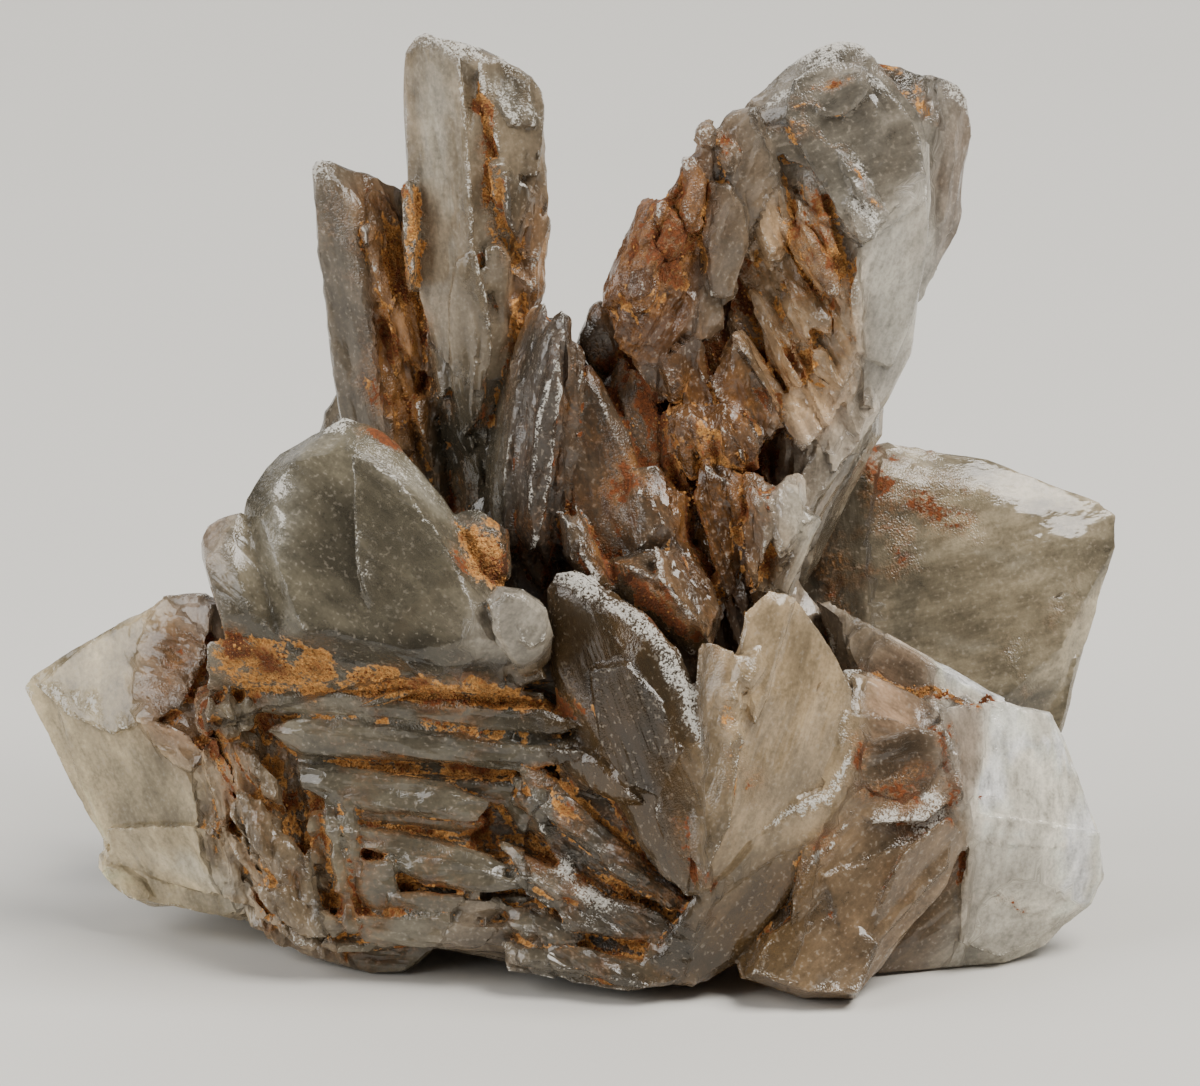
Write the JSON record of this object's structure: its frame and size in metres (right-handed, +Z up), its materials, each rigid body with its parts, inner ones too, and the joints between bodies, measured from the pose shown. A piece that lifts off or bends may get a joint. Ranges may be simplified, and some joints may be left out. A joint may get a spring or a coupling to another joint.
{
  "type": "selenite crystal cluster",
  "caption": "Cluster of bladed, smoky and honey-coloured selenite crystals grown together at one base, with iron-stained clay in the seams.",
  "frame": {"origin": "on the surface the cluster stands on, under the centre of its bounding box", "axes": "+Z up as it stands, +X along the cluster's width, -Y towards the front, the side with the open stack of plates and the leaf-shaped blades"},
  "size_m": [0.11, 0.0588, 0.0911],
  "materials": {
    "selenite": "clear to milky smoky selenite with satin cleavage faces, frosted edges and dull orange iron-stained clay in the seams"
  },
  "bodies": {
    "root": {"selenite_cluster": "selenite"}
  },
  "joints": []
}
